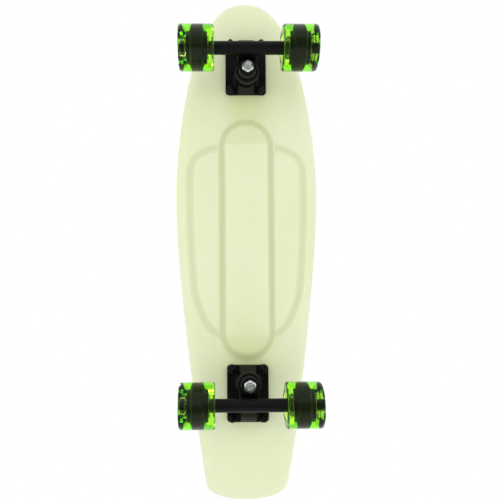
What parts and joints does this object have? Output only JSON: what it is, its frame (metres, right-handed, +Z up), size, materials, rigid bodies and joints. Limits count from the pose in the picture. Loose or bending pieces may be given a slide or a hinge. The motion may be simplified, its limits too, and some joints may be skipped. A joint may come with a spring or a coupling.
{
  "type": "skateboard",
  "caption": "Short plastic cruiser skateboard with a moulded deck, two steering trucks and soft clear wheels that turn freely.",
  "frame": {"origin": "on the ground under the wheels, below the middle of the board", "axes": "+X towards the nose, +Y towards the board's left side, +Z up with the board standing on its wheels"},
  "size_m": [0.686, 0.1904, 0.1273],
  "materials": {
    "deck_plastic": "satin",
    "truck_metal": "satin black",
    "black_steel": "black oxide",
    "zinc_steel": "bright zinc",
    "bushing_urethane": "satin",
    "cup_plastic": "matte",
    "green_urethane": "clear gloss",
    "core_plastic": "satin",
    "bearing_steel": "ground"
  },
  "bodies": {
    "board": {"deck": "deck_plastic", "front_baseplate": "truck_metal", "front_pivot_cup": "cup_plastic", "front_kingpin": "black_steel", "front_lower_washer": "black_steel", "front_lower_bushing": "bushing_urethane", "front_upper_bushing": "bushing_urethane", "front_upper_washer": "black_steel", "front_kingpin_nut": "zinc_steel", "front_mounting_bolt_1": "black_steel", "front_lock_nut_1": "black_steel", "front_mounting_bolt_2": "black_steel", "front_lock_nut_2": "black_steel", "front_mounting_bolt_3": "black_steel", "front_lock_nut_3": "black_steel", "front_mounting_bolt_4": "black_steel", "front_lock_nut_4": "black_steel", "rear_baseplate": "truck_metal", "rear_pivot_cup": "cup_plastic", "rear_kingpin": "black_steel", "rear_lower_washer": "black_steel", "rear_lower_bushing": "bushing_urethane", "rear_upper_bushing": "bushing_urethane", "rear_upper_washer": "black_steel", "rear_kingpin_nut": "zinc_steel", "rear_mounting_bolt_1": "black_steel", "rear_lock_nut_1": "black_steel", "rear_mounting_bolt_2": "black_steel", "rear_lock_nut_2": "black_steel", "rear_mounting_bolt_3": "black_steel", "rear_lock_nut_3": "black_steel", "rear_mounting_bolt_4": "black_steel", "rear_lock_nut_4": "black_steel"},
    "front_hanger": {"front_hanger": "truck_metal", "front_axle": "black_steel", "front_left_axle_nut": "black_steel", "front_right_axle_nut": "black_steel"},
    "rear_hanger": {"rear_hanger": "truck_metal", "rear_axle": "black_steel", "rear_left_axle_nut": "black_steel", "rear_right_axle_nut": "black_steel"},
    "front_left_wheel": {"front_left_tyre": "green_urethane", "front_left_core": "core_plastic", "front_left_inner_bearing": "bearing_steel", "front_left_outer_bearing": "bearing_steel"},
    "front_right_wheel": {"front_right_tyre": "green_urethane", "front_right_core": "core_plastic", "front_right_inner_bearing": "bearing_steel", "front_right_outer_bearing": "bearing_steel"},
    "rear_left_wheel": {"rear_left_tyre": "green_urethane", "rear_left_core": "core_plastic", "rear_left_inner_bearing": "bearing_steel", "rear_left_outer_bearing": "bearing_steel"},
    "rear_right_wheel": {"rear_right_tyre": "green_urethane", "rear_right_core": "core_plastic", "rear_right_inner_bearing": "bearing_steel", "rear_right_outer_bearing": "bearing_steel"}
  },
  "joints": [
    {"name": "front_steering", "type": "hinge", "parent": "board", "child": "front_hanger", "pos_m": [0.2286, 0, 0.052], "axis": [0.9211, 0, 0.3893], "range_deg": [-12, 12], "stiffness_Nm_per_rad": 20, "deforming": ["front_lower_bushing", "front_upper_bushing"]},
    {"name": "rear_steering", "type": "hinge", "parent": "board", "child": "rear_hanger", "pos_m": [-0.1716, 0, 0.052], "axis": [0.9211, 0, -0.3893], "range_deg": [-12, 12], "stiffness_Nm_per_rad": 20, "deforming": ["rear_lower_bushing", "rear_upper_bushing"]},
    {"name": "front_left_wheel_spin", "type": "hinge", "parent": "front_hanger", "child": "front_left_wheel", "pos_m": [0.2502, 0.064, 0.028], "axis": [0, 1, 0], "continuous": true},
    {"name": "front_right_wheel_spin", "type": "hinge", "parent": "front_hanger", "child": "front_right_wheel", "pos_m": [0.2502, -0.064, 0.028], "axis": [0, 1, 0], "continuous": true},
    {"name": "rear_left_wheel_spin", "type": "hinge", "parent": "rear_hanger", "child": "rear_left_wheel", "pos_m": [-0.1932, 0.064, 0.028], "axis": [0, 1, 0], "continuous": true},
    {"name": "rear_right_wheel_spin", "type": "hinge", "parent": "rear_hanger", "child": "rear_right_wheel", "pos_m": [-0.1932, -0.064, 0.028], "axis": [0, 1, 0], "continuous": true}
  ]
}
